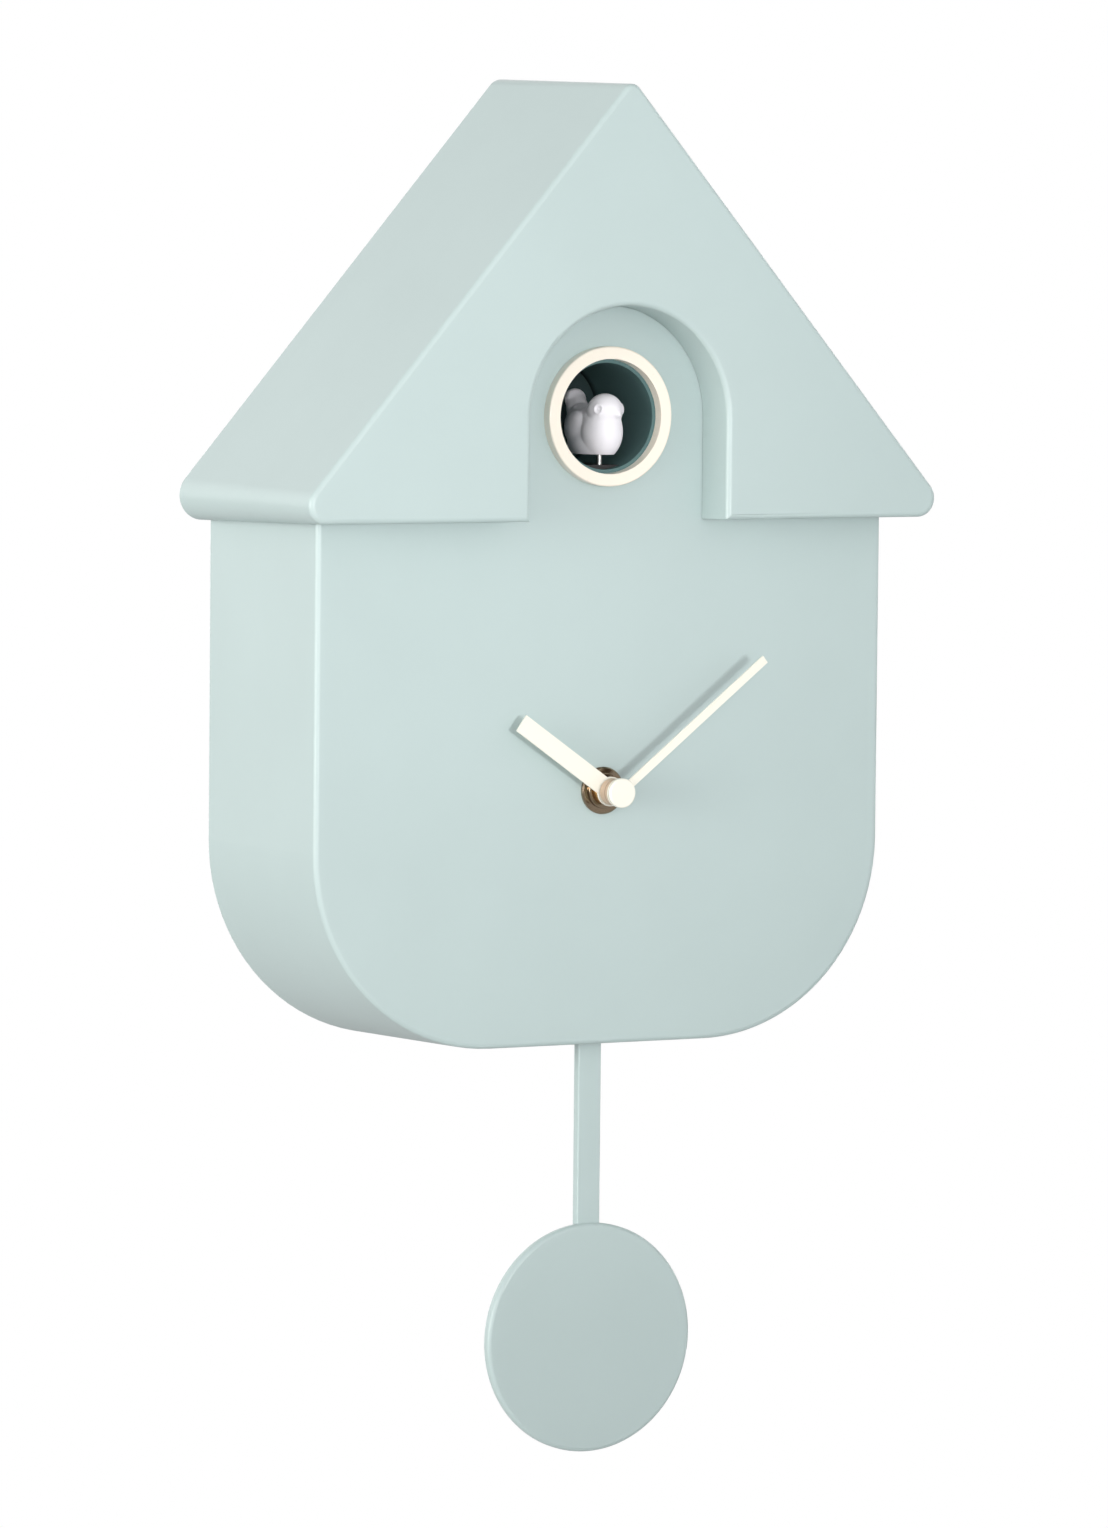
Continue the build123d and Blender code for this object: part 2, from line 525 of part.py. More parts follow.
with BuildPart() as cuckoo_motor:
    bar(9.6, 32, MOTOR_DEPTH, PINION_Z, 7.4)
    fillet(edges().filter_by(GeomType.CIRCLE), 0.8)
    bar(32, 33.5, MOTOR_DEPTH, PINION_Z, 2.5)
    bar(9.6, 12.1, MOTOR_DEPTH, PINION_Z, 0.9 + RUN, mode=Mode.SUBTRACT)
save(cuckoo_motor, "cuckoo_motor")

with BuildPart() as motor_bracket:
    base_z = EAVE_Z - 7.5
    slab(33, PLATE_BACK, -6, 9.5, base_z, base_z + 1.5)
    slab(PLATE_BACK - 1.5, PLATE_BACK, -14, 18, EAVE_Z - 17, base_z + 1.5)
    slab(40, 54, -6, -4.4, base_z, PINION_Z + 4)
    slab(28, 54, 8, 9.5, base_z, PINION_Z + 6.5)
    bar(-6, -4, PINION_DEPTH, PINION_Z, AXLE_R, mode=Mode.SUBTRACT)
    bar(8, 9.6, PINION_DEPTH, PINION_Z, AXLE_R, mode=Mode.SUBTRACT)
    bar(8, 9.6, MOTOR_DEPTH, PINION_Z, 1.4, mode=Mode.SUBTRACT)
    for x, z in MOTOR_SCREWS:
        cylinder(PLATE_BACK - 1.5, PLATE_BACK, x, z, SMALL_CLEAR_R, mode=Mode.SUBTRACT)
save(motor_bracket, "motor_bracket")

# ---- quartz movement -------------------------------------------------------------------------
CASE_HALF = 28.0
CASE_WALL = 1.5
CASE_SPLIT = 53.7
CASE_BACK = 46.5
MID_T = 1.5
ARBOR_R = 1.5
PIPE_R = 2.6                # outer radius of the hour wheel's pipe
KNOB_SHAFT_R = 2.0
PIVOT_R = 0.8
CANNON_TEETH = 12
MINUTE_TEETH = 36
CANNON_MODULE = 0.5
MINUTE_PINION_TEETH = 10
HOUR_TEETH = 40
HOUR_MODULE = 0.48
ROTOR_TEETH = 10
TRAIN_TEETH = 60
TRAIN_MODULE = 0.3
ROTOR = (-15.0, HANDS_Z - 7.0)
TRAIN = (ROTOR[0] + (ROTOR_TEETH + TRAIN_TEETH) * TRAIN_MODULE / 2, HANDS_Z - 7.0)
COIL_Z = HANDS_Z - 21.0
COIL_DEPTH = 50.9
STATOR_BACK = 50.5
STATOR_FRONT = 51.3

with BuildPart() as movement_front_case:
    slab(CASE_SPLIT, PLATE_BACK, -CASE_HALF, CASE_HALF, HANDS_Z - CASE_HALF, HANDS_Z + CASE_HALF)
    fillet(edges().filter_by(Axis.Y), 3)
    slab(CASE_SPLIT, PLATE_BACK - CASE_WALL, -CASE_HALF + CASE_WALL, CASE_HALF - CASE_WALL,
         HANDS_Z - CASE_HALF + CASE_WALL, HANDS_Z + CASE_HALF - CASE_WALL, mode=Mode.SUBTRACT)
    cylinder(PLATE_BACK - CASE_WALL, PLATE_BACK, 0, HANDS_Z, BUSH_R, mode=Mode.SUBTRACT)
    cylinder(PLATE_BACK - CASE_WALL, PLATE_BACK - 0.5, 0, KNOB_Z, PIVOT_R + RUN, mode=Mode.SUBTRACT)
save(movement_front_case, "movement_front_case")

with BuildPart() as movement_rear_case:
    slab(CASE_BACK, CASE_SPLIT, -CASE_HALF, CASE_HALF, HANDS_Z - CASE_HALF, HANDS_Z + CASE_HALF)
    fillet(edges().filter_by(Axis.Y), 3)
    slab(CASE_BACK + CASE_WALL, CASE_SPLIT, -CASE_HALF + CASE_WALL, CASE_HALF - CASE_WALL,
         HANDS_Z - CASE_HALF + CASE_WALL, HANDS_Z + CASE_HALF - CASE_WALL, mode=Mode.SUBTRACT)
    cylinder(CASE_BACK, CASE_BACK + CASE_WALL, 0, KNOB_Z, KNOB_SHAFT_R + RUN, mode=Mode.SUBTRACT)
    for x, z in (ROTOR, TRAIN):
        cylinder(CASE_BACK, CASE_BACK + 2.3, x, z, 1.6)
        cylinder(CASE_BACK + 1.0, CASE_BACK + 2.3, x, z, 0.5 + RUN, mode=Mode.SUBTRACT)
save(movement_rear_case, "movement_rear_case")

with BuildPart() as movement_plate:
    slab(CASE_SPLIT, CASE_SPLIT + MID_T, -26, 26, HANDS_Z - 26, HANDS_Z + 26)
    cylinder(CASE_SPLIT, CASE_SPLIT + MID_T, 0, HANDS_Z, PIVOT_R + RUN, mode=Mode.SUBTRACT)
    cylinder(CASE_SPLIT, CASE_SPLIT + MID_T, 0, KNOB_Z, KNOB_SHAFT_R + RUN, mode=Mode.SUBTRACT)
    for x, z in (ROTOR, TRAIN):
        cylinder(CASE_SPLIT, CASE_SPLIT + MID_T, x, z, 0.5 + RUN, mode=Mode.SUBTRACT)
save(movement_plate, "movement_plate")

BUSH_FRONT = 68.6
NUT_FACE = 66.2
with BuildPart() as movement_bush:
    cylinder(PLATE_BACK - CASE_WALL - 0.8, PLATE_BACK - CASE_WALL, 0, HANDS_Z, 5.5)
    cylinder(PLATE_BACK - CASE_WALL, BUSH_FRONT, 0, HANDS_Z, BUSH_R)
    chamfer(faces().sort_by(Axis.Y)[0].edges(), 0.4)
    cylinder(PLATE_BACK - CASE_WALL - 0.8, BUSH_FRONT, 0, HANDS_Z, PIPE_R + RUN, mode=Mode.SUBTRACT)
save(movement_bush, "movement_bush")

with BuildPart() as movement_nut:
    cylinder(BODY_FRONT, NUT_FACE, 0, HANDS_Z, 6.9)
    chamfer(faces().sort_by(Axis.Y)[0].edges(), 0.4)
    cylinder(NUT_FACE - 0.2, NUT_FACE + 0.9, 0, HANDS_Z, 5.2)
    fillet(faces().sort_by(Axis.Y)[0].edges(), 0.3)
    cylinder(BODY_FRONT, NUT_FACE + 1, 0, HANDS_Z, BUSH_R, mode=Mode.SUBTRACT)
save(movement_nut, "movement_nut")


def blade(length, width, degrees_, front, hub_r):
    """Square-ended hand with a round hub, in the active part; the bar points along degrees_."""
    with BuildSketch(at(front - HAND_THICK)) as face:
        with Locations(Location((0, HANDS_Z), degrees_)):
            with Locations((length / 2, 0)):
                Rectangle(length, width)
        disc(0, HANDS_Z, hub_r)
    extrude(face.sketch, amount=HAND_THICK)


with BuildPart() as hour_hand:
    blade(HOUR_LENGTH, HOUR_W, HOUR_DEG, HOUR_FRONT, CAP_R)
    cylinder(BUSH_FRONT + 0.3, HOUR_FRONT, 0, HANDS_Z, 3.6)
    cylinder(BUSH_FRONT, HOUR_FRONT, 0, HANDS_Z, PIPE_R, mode=Mode.SUBTRACT)
save(hour_hand, "hour_hand")

HOUR_WHEEL_BACK = 58.5
HOUR_WHEEL_FRONT = 59.7
MINUTE_WHEEL_BACK = 56.2
MINUTE_WHEEL_FRONT = 57.8
with BuildPart() as hour_wheel:
    with BuildSketch(at(HOUR_WHEEL_BACK)):
        gear_face(HOUR_TEETH, HOUR_MODULE, 90 + 180 / HOUR_TEETH, (0, HANDS_Z))
    extrude(amount=HOUR_WHEEL_FRONT - HOUR_WHEEL_BACK)
    cylinder(HOUR_WHEEL_FRONT, HOUR_FRONT, 0, HANDS_Z, PIPE_R)
    cylinder(HOUR_WHEEL_BACK, HOUR_FRONT, 0, HANDS_Z, ARBOR_R + RUN, mode=Mode.SUBTRACT)
save(hour_wheel, "hour_wheel")

with BuildPart() as minute_hand:
    blade(MINUTE_LENGTH, MINUTE_W, MINUTE_DEG, MINUTE_FRONT, CAP_R)
    cylinder(HOUR_FRONT + 0.5, MINUTE_FRONT - HAND_THICK, 0, HANDS_Z, 3.9)
    cylinder(HOUR_FRONT + 0.5, MINUTE_FRONT, 0, HANDS_Z, ARBOR_R, mode=Mode.SUBTRACT)
save(minute_hand, "minute_hand")

with BuildPart() as minute_cap:
    cylinder(MINUTE_FRONT, CAP_FRONT, 0, HANDS_Z, CAP_R)
    fillet(faces().sort_by(Axis.Y)[0].edges(), 0.5)
save(minute_cap, "minute_cap")

with BuildPart() as minute_arbor:
    cylinder(CASE_SPLIT + 0.2, MINUTE_WHEEL_BACK, 0, HANDS_Z, PIVOT_R)
    with BuildSketch(at(MINUTE_WHEEL_BACK)):
        gear_face(CANNON_TEETH, CANNON_MODULE, 90, (0, HANDS_Z))
    extrude(amount=MINUTE_WHEEL_FRONT - MINUTE_WHEEL_BACK)
    cylinder(MINUTE_WHEEL_FRONT, MINUTE_FRONT, 0, HANDS_Z, ARBOR_R)
save(minute_arbor, "minute_arbor")

with BuildPart() as motion_wheel:
    with BuildSketch(at(MINUTE_WHEEL_BACK)):
        gear_face(MINUTE_TEETH, CANNON_MODULE, 270 + 180 / MINUTE_TEETH, (0, KNOB_Z))
    extrude(amount=MINUTE_WHEEL_FRONT - MINUTE_WHEEL_BACK)
    with BuildSketch(at(MINUTE_WHEEL_FRONT)):
        gear_face(MINUTE_PINION_TEETH, HOUR_MODULE, 270, (0, KNOB_Z))
    extrude(amount=60.2 - MINUTE_WHEEL_FRONT)
    cylinder(60.2, PLATE_BACK - 0.6, 0, KNOB_Z, PIVOT_R)
    cylinder(8.0, MINUTE_WHEEL_BACK, 0, KNOB_Z, KNOB_SHAFT_R)
save(motion_wheel, "motion_wheel")

with BuildPart() as setting_knob:
    cylinder(1.2, 8.0, 0, KNOB_Z, KNOB_R)
    with BuildSketch(at(1.2)):
        with Locations((0, KNOB_Z)):
            with PolarLocations(KNOB_R + 0.3, 24):
                Circle(0.6)
    extrude(amount=6.8, mode=Mode.SUBTRACT)
    cylinder(8.0, 12.0, 0, KNOB_Z, 3.6)
    cylinder(8.0, 12.0, 0, KNOB_Z, KNOB_SHAFT_R, mode=Mode.SUBTRACT)
save(setting_knob, "setting_knob")

# ---- stepping motor of the movement ----------------------------------------------------------
with BuildPart() as stepper_rotor:
    cylinder(CASE_BACK + 1.2, CASE_SPLIT + 1.2, *ROTOR, 0.5)
    cylinder(CASE_BACK + 2.5, CASE_BACK + 4.7, *ROTOR, 2.7)
    with BuildSketch(at(51.5)):
        gear_face(ROTOR_TEETH, TRAIN_MODULE, 0, ROTOR)
    extrude(amount=1.6)
save(stepper_rotor, "stepper_rotor")

with BuildPart() as train_wheel:
    cylinder(CASE_BACK + 1.2, CASE_SPLIT + 1.2, *TRAIN, 0.5)
    with BuildSketch(at(51.8)):
        gear_face(TRAIN_TEETH, TRAIN_MODULE, 180 + 180 / TRAIN_TEETH, TRAIN)
    extrude(amount=1.0)
    cylinder(CASE_BACK + 2.5, 51.8, *TRAIN, 1.2)
save(train_wheel, "train_wheel")

with BuildPart() as stepper_stator:
    slab(STATOR_BACK, STATOR_FRONT, -23, -7, COIL_Z - 1.5, HANDS_Z - 2)
    cylinder(STATOR_BACK, STATOR_FRONT, *ROTOR, 3.2, mode=Mode.SUBTRACT)
    slab(STATOR_BACK, STATOR_FRONT, -18, -12, COIL_Z + 3.2, COIL_Z + 6.5, mode=Mode.SUBTRACT)
    slab(STATOR_BACK, STATOR_FRONT, -7, 22, COIL_Z - 1.5, COIL_Z + 1.5)
save(stepper_stator, "stepper_stator")

with BuildPart() as stepper_coil:
    bar(-4, 18, COIL_DEPTH, COIL_Z, 2.5)
    slab(STATOR_BACK, STATOR_FRONT, -4.1, 18.1, COIL_Z - 1.5, COIL_Z + 1.5, mode=Mode.SUBTRACT)
save(stepper_coil, "stepper_coil")

# ---- pendulum and its drive ------------------------------------------------------------------
PIVOT_PIN_R = 1.0
HANGER_BACK = 55.6
HANGER_FRONT = 60.6
HANGER_BOTTOM = PIVOT_Z - 36.0
ROD_TOP = PIVOT_Z - 10.0
MAGNET_Z = PIVOT_Z - 26.0
BRACKET_BACK = 42.0
with BuildPart() as pendulum_bracket:
    slab(BRACKET_BACK, PLATE_BACK, -18, 18, PIVOT_Z - 34, PIVOT_Z + 4.6)
    slab(BRACKET_BACK + 1.5, PLATE_BACK - 1.4, -16.5, 16.5, PIVOT_Z - 40, PIVOT_Z + 3.1,
         mode=Mode.SUBTRACT)
    slab(PLATE_BACK - 2, PLATE_BACK + 1, -16.5, 16.5, PIVOT_Z - 40, PIVOT_Z - 6, mode=Mode.SUBTRACT)
    for x0, x1 in ((-27, -18), (18, 27)):
        slab(PLATE_BACK - LOW_BOSS - 1.8, PLATE_BACK - LOW_BOSS, x0, x1, PIVOT_Z - 33, PIVOT_Z + 1)
    for x, z in BRACKET_BOSSES:
        cylinder(PLATE_BACK - LOW_BOSS - 1.8, PLATE_BACK - LOW_BOSS, x, z, SMALL_CLEAR_R,
                 mode=Mode.SUBTRACT)
    cylinder(BRACKET_BACK, PLATE_BACK, 0, PIVOT_Z, PIVOT_PIN_R, mode=Mode.SUBTRACT)
save(pendulum_bracket, "pendulum_bracket")

with BuildPart() as pivot_pin:
    cylinder(BRACKET_BACK, PLATE_BACK - 0.2, 0, PIVOT_Z, PIVOT_PIN_R)
    cylinder(BRACKET_BACK - 1.0, BRACKET_BACK, 0, PIVOT_Z, 2.0)
save(pivot_pin, "pivot_pin")

with BuildPart() as pendulum_hanger:
    cylinder(HANGER_BACK - 9.0, HANGER_FRONT, 0, PIVOT_Z, 2.8)
    slab(HANGER_BACK, HANGER_FRONT, -5.5, 5.5, HANGER_BOTTOM, PIVOT_Z)
    cylinder(HANGER_BACK - 2.6, HANGER_BACK, 0, MAGNET_Z, 5.2)
    cylinder(HANGER_BACK - 2.6, HANGER_BACK, 0, MAGNET_Z, 4.0, mode=Mode.SUBTRACT)
    cylinder(HANGER_BACK - 10, HANGER_FRONT, 0, PIVOT_Z, PIVOT_PIN_R + RUN, mode=Mode.SUBTRACT)
    slab(ROD_FRONT - ROD_THICK - 0.05, ROD_FRONT + 0.05, -ROD_W / 2 - 0.05, ROD_W / 2 + 0.05,
         HANGER_BOTTOM, ROD_TOP, mode=Mode.SUBTRACT)
save(pendulum_hanger, "pendulum_hanger")

with BuildPart() as pendulum_magnet:
    cylinder(HANGER_BACK - 2.5, HANGER_BACK, 0, MAGNET_Z, 4.0)
save(pendulum_magnet, "pendulum_magnet")

ROD_END = BOB_Z - 8.0
BOB_CHANNEL = ROD_FRONT + 0.05
with BuildPart() as pendulum_rod:
    slab(ROD_FRONT - ROD_THICK, ROD_FRONT, -ROD_W / 2, ROD_W / 2, ROD_END, ROD_TOP)
    fillet(edges().filter_by(Axis.Z), 0.4)
save(pendulum_rod, "pendulum_rod")

with BuildPart() as pendulum_bob:
    cylinder(BOB_FRONT - BOB_THICK, BOB_FRONT, 0, BOB_Z, BOB_R)
    fillet(edges().filter_by(GeomType.CIRCLE), 1.2)
    slab(BOB_FRONT - BOB_THICK - 1, BOB_CHANNEL, -ROD_W / 2 - 0.05, ROD_W / 2 + 0.05, ROD_END - 0.05,
         BOB_Z + BOB_R + 1, mode=Mode.SUBTRACT)
save(pendulum_bob, "pendulum_bob")

with BuildPart() as coil_bobbin:
    cylinder(BRACKET_BACK + 1.5, 52.2, 0, MAGNET_Z, 9.0)
    cylinder(BRACKET_BACK + 2.5, 51.2, 0, MAGNET_Z, 9.0, mode=Mode.SUBTRACT)
    cylinder(BRACKET_BACK + 1.5, 52.2, 0, MAGNET_Z, 4.5)
    cylinder(BRACKET_BACK + 1.5, 52.2, 0, MAGNET_Z, 3.4, mode=Mode.SUBTRACT)
save(coil_bobbin, "coil_bobbin")

with BuildPart() as drive_coil:
    cylinder(BRACKET_BACK + 2.5, 51.2, 0, MAGNET_Z, 8.4)
    cylinder(BRACKET_BACK + 2.5, 51.2, 0, MAGNET_Z, 4.5, mode=Mode.SUBTRACT)
save(drive_coil, "drive_coil")

# ---- loudspeaker behind the grille -----------------------------------------------------------
SPEAKER_BACK = COVER_FRONT
with BuildPart() as speaker_frame:
    cylinder(SPEAKER_BACK, SPEAKER_BACK + 1.2, *SPEAKER, SPEAKER_R)
    with BuildSketch(at(SPEAKER_BACK + 1.2)):
        disc(*SPEAKER, SPEAKER_R - 2)
    extrude(amount=6, taper=48)
    with BuildSketch(at(SPEAKER_BACK)):
        disc(*SPEAKER, SPEAKER_R - 2)
    extrude(amount=6.2, taper=47, mode=Mode.SUBTRACT)
    cylinder(SPEAKER_BACK, SPEAKER_BACK + 8, *SPEAKER, 6.5, mode=Mode.SUBTRACT)
save(speaker_frame, "speaker_frame")

with BuildPart() as speaker_cone:
    with BuildSketch(at(SPEAKER_BACK + 0.2)):
        disc(*SPEAKER, SPEAKER_R - 3.4)
    extrude(amount=5.0, taper=58)
    with BuildSketch(at(SPEAKER_BACK + 0.2)):
        disc(*SPEAKER, SPEAKER_R - 4.4)
    extrude(amount=4.5, taper=58, mode=Mode.SUBTRACT)
save(speaker_cone, "speaker_cone")

with BuildPart() as speaker_magnet:
    cylinder(SPEAKER_BACK + 7.2, SPEAKER_BACK + 12.5, *SPEAKER, 10.0)
    chamfer(edges().filter_by(GeomType.CIRCLE), 0.5)
save(speaker_magnet, "speaker_magnet")

# ---- sound board with its switch and button --------------------------------------------------
BOARD_FRONT = BOARD_BACK + BOARD_T
with BuildPart() as sound_board:
    slab(BOARD_BACK, BOARD_FRONT, *BOARD)
    for x, z in BOARD_POSTS:
        cylinder(BOARD_BACK, BOARD_FRONT, x, z, SMALL_CLEAR_R, mode=Mode.SUBTRACT)
save(sound_board, "sound_board")

with BuildPart() as board_components:
    cylinder(BOARD_FRONT, BOARD_FRONT + 1.5, 8, EAVE_Z - 30, 6.0)
    cylinder(BOARD_FRONT, BOARD_FRONT + 9, 24, EAVE_Z - 24, 3.1)
    cylinder(BOARD_FRONT, BOARD_FRONT + 7, 24, EAVE_Z - 36, 2.5)
    for x in (-12, -4, 48, 60):
        slab(BOARD_FRONT, BOARD_FRONT + 5, x - 3, x + 3, EAVE_Z - 43, EAVE_Z - 38)
    slab(BOARD_FRONT, BOARD_FRONT + 2.2, 36, 45, EAVE_Z - 34, EAVE_Z - 26)
save(board_components, "board_components")

with BuildPart() as volume_switch:
    slab(BOARD_BACK - 4.4, BOARD_BACK, SWITCH[0] - 6.5, SWITCH[0] + 6.5, SWITCH[1] - 3, SWITCH[1] + 3)
    slab(BOARD_BACK - 4.4, BOARD_BACK - 0.6, SWITCH[0] - 5.7, SWITCH[0] + 5.7,
         SWITCH[1] - 2, SWITCH[1] + 2, mode=Mode.SUBTRACT)
save(volume_switch, "volume_switch")

with BuildPart() as volume_slider:
    slab(BOARD_BACK - 3.6, BOARD_BACK - 0.8, SWITCH[0] - 5.5, SWITCH[0] + 0.5,
         SWITCH[1] - 1.8, SWITCH[1] + 1.8)
    slab(1.6, BOARD_BACK - 3.6, SWITCH[0] - 4.5, SWITCH[0] - 0.5, SWITCH[1] - 1.8, SWITCH[1] + 1.8)
save(volume_slider, "volume_slider")

with BuildPart() as test_switch:
    slab(BOARD_BACK - 1.8, BOARD_BACK, BUTTON[0] - 3, BUTTON[0] + 3, BUTTON[1] - 3, BUTTON[1] + 3)
save(test_switch, "test_switch")

with BuildPart() as test_button:
    cylinder(1.2, 6.0, *BUTTON, 3.0)
    fillet(faces().sort_by(Axis.Y)[-1].edges(), 0.5)
    cylinder(6.0, BOARD_BACK - 2.8, *BUTTON, 1.7)
save(test_button, "test_button")

# ---- battery tray, its cells and their contacts ----------------------------------------------
CELL_R = 7.1
CELL_PITCH = 15.2
CELL_DEPTH = 11.2
CELL_LOW = TRAY[2] + 5.0
CELL_LENGTH = 49.2
CELL_XS = (-CELL_PITCH, 0, CELL_PITCH)
with BuildPart() as battery_tray:
    slab(COVER_FRONT + 1.3, TRAY_FRONT, *TRAY)
    slab(COVER_FRONT, TRAY_FRONT - 1.6, TRAY[0] + 1.4, TRAY[1] - 1.4, TRAY[2] + 1.4, TRAY[3] - 1.4,
         mode=Mode.SUBTRACT)
save(battery_tray, "battery_tray")

with BuildPart() as battery_cells:
    for index, x in enumerate(CELL_XS):
        with BuildSketch(Plane.XY.offset(CELL_LOW)):
            disc(x, -CELL_DEPTH, CELL_R)
        extrude(amount=CELL_LENGTH)
        with BuildSketch(Plane.XY.offset(CELL_LOW + CELL_LENGTH)):
            disc(x, -CELL_DEPTH, 2.7)
        extrude(amount=1.2)
save(battery_cells, "battery_cells")

with BuildPart() as battery_contacts:
    for x in CELL_XS:
        slab(CELL_DEPTH - 4, CELL_DEPTH + 4, x - 4, x + 4, CELL_LOW + CELL_LENGTH + 1.2, TRAY[3] - 1.4)
        slab(CELL_DEPTH - 4, CELL_DEPTH + 4, x - 4, x + 4, TRAY[2] + 1.4, TRAY[2] + 1.8)
        with BuildLine() as turns:
            Helix(pitch=0.9, height=2.7, radius=3.0, center=(x, -CELL_DEPTH, TRAY[2] + 2.0))
        with BuildSketch(Plane(origin=turns.line @ 0, z_dir=turns.line % 0)):
            Circle(0.25)
        sweep(path=turns.line)
save(battery_contacts, "battery_contacts")
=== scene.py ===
"""Looks of the wall cuckoo clock: materials, the bird's mesh, soft studio light and the camera."""

import bmesh
import bpy
import json
import math
from mathutils import Matrix, Vector


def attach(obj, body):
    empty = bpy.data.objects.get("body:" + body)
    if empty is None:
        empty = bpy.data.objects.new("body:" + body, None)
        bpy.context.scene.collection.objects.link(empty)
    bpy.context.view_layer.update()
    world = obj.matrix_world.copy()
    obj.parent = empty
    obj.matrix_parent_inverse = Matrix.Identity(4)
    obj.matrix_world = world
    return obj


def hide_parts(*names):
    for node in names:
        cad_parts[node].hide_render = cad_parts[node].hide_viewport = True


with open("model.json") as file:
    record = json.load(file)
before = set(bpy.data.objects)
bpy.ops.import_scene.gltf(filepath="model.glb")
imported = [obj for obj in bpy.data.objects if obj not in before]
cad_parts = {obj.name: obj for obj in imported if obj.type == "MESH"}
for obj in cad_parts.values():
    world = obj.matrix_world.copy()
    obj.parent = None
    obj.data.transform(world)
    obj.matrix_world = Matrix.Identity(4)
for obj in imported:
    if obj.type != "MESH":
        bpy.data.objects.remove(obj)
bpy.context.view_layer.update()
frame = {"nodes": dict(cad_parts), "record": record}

MM = 0.001
NODES = frame["nodes"]

# ---- camera, set where the clock is seen from -------------------------------------------------
CAMERA_AT = Vector((-1.13792, -2.10103, 0.01063))
CAMERA_YAW = math.radians(28.858)       # turned to the right of straight ahead
CAMERA_PITCH = math.radians(4.098)      # tilted down
CAMERA_ROLL = math.radians(0.538)
CAMERA_LENS = 189.54
SENSOR = 36.0


def make_camera():
    forward = Vector((math.sin(CAMERA_YAW) * math.cos(CAMERA_PITCH),
                      math.cos(CAMERA_YAW) * math.cos(CAMERA_PITCH), -math.sin(CAMERA_PITCH)))
    level = Vector((math.cos(CAMERA_YAW), -math.sin(CAMERA_YAW), 0.0))
    upright = level.cross(forward)
    right = level * math.cos(CAMERA_ROLL) + upright * math.sin(CAMERA_ROLL)
    up = upright * math.cos(CAMERA_ROLL) - level * math.sin(CAMERA_ROLL)
    turn = Matrix((right, up, -forward)).transposed()
    data = bpy.data.cameras.new("camera")
    data.sensor_width = SENSOR
    data.lens = CAMERA_LENS
    data.clip_start = 0.05
    data.clip_end = 60.0
    camera = bpy.data.objects.new("camera", data)
    camera.matrix_world = Matrix.Translation(CAMERA_AT) @ turn.to_4x4()
    bpy.context.scene.collection.objects.link(camera)
    bpy.context.scene.camera = camera


# ---- materials ----------------------------------------------------------------------------------
def linear(red, green, blue):
    """Scene-linear colour from display values between 0 and 255."""
    def one(value):
        value /= 255.0
        return value / 12.92 if value <= 0.04045 else ((value + 0.055) / 1.055) ** 2.4
    return (one(red), one(green), one(blue), 1.0)


def shaded(name, colour, variation=0.03, patch=30.0, rough=0.45, rough_spread=0.05,
           grain=900.0, grain_height=0.00002, metallic=0.0, specular=0.5, coat=0.0, stretch=(1, 1, 1)):
    """Moulded or turned surface: slightly uneven colour and gloss, and a fine grain in relief."""
    material = bpy.data.materials.new(name)
    material.use_nodes = True
    nodes = material.node_tree.nodes
    links = material.node_tree.links
    shader = nodes["Principled BSDF"]
    shader.inputs["Metallic"].default_value = metallic
    shader.inputs["Specular IOR Level"].default_value = specular
    shader.inputs["Coat Weight"].default_value = coat
    place = nodes.new("ShaderNodeTexCoord")
    fit = nodes.new("ShaderNodeMapping")
    fit.inputs["Scale"].default_value = stretch
    links.new(place.outputs["Object"], fit.inputs["Vector"])

    cloud = nodes.new("ShaderNodeTexNoise")
    cloud.inputs["Scale"].default_value = patch
    cloud.inputs["Detail"].default_value = 3.0
    links.new(fit.outputs["Vector"], cloud.inputs["Vector"])
    tint = nodes.new("ShaderNodeValToRGB")
    tint.color_ramp.elements[0].position = 0.3
    tint.color_ramp.elements[1].position = 0.7
    tint.color_ramp.elements[0].color = tuple(c * (1 - variation) for c in colour[:3]) + (1.0,)
    tint.color_ramp.elements[1].color = tuple(min(1.0, c * (1 + variation)) for c in colour[:3]) + (1.0,)
    links.new(cloud.outputs["Fac"], tint.inputs["Fac"])
    links.new(tint.outputs["Color"], shader.inputs["Base Color"])

    fine = nodes.new("ShaderNodeTexNoise")
    fine.inputs["Scale"].default_value = grain
    fine.inputs["Detail"].default_value = 2.0
    links.new(fit.outputs["Vector"], fine.inputs["Vector"])
    gloss = nodes.new("ShaderNodeMapRange")
    gloss.inputs["To Min"].default_value = rough - rough_spread
    gloss.inputs["To Max"].default_value = rough + rough_spread
    links.new(fine.outputs["Fac"], gloss.inputs["Value"])
    links.new(gloss.outputs["Result"], shader.inputs["Roughness"])
    relief = nodes.new("ShaderNodeBump")
    relief.inputs["Strength"].default_value = 1.0
    relief.inputs["Distance"].default_value = grain_height
    links.new(fine.outputs["Fac"], relief.inputs["Height"])
    links.new(relief.outputs["Normal"], shader.inputs["Normal"])
    return material


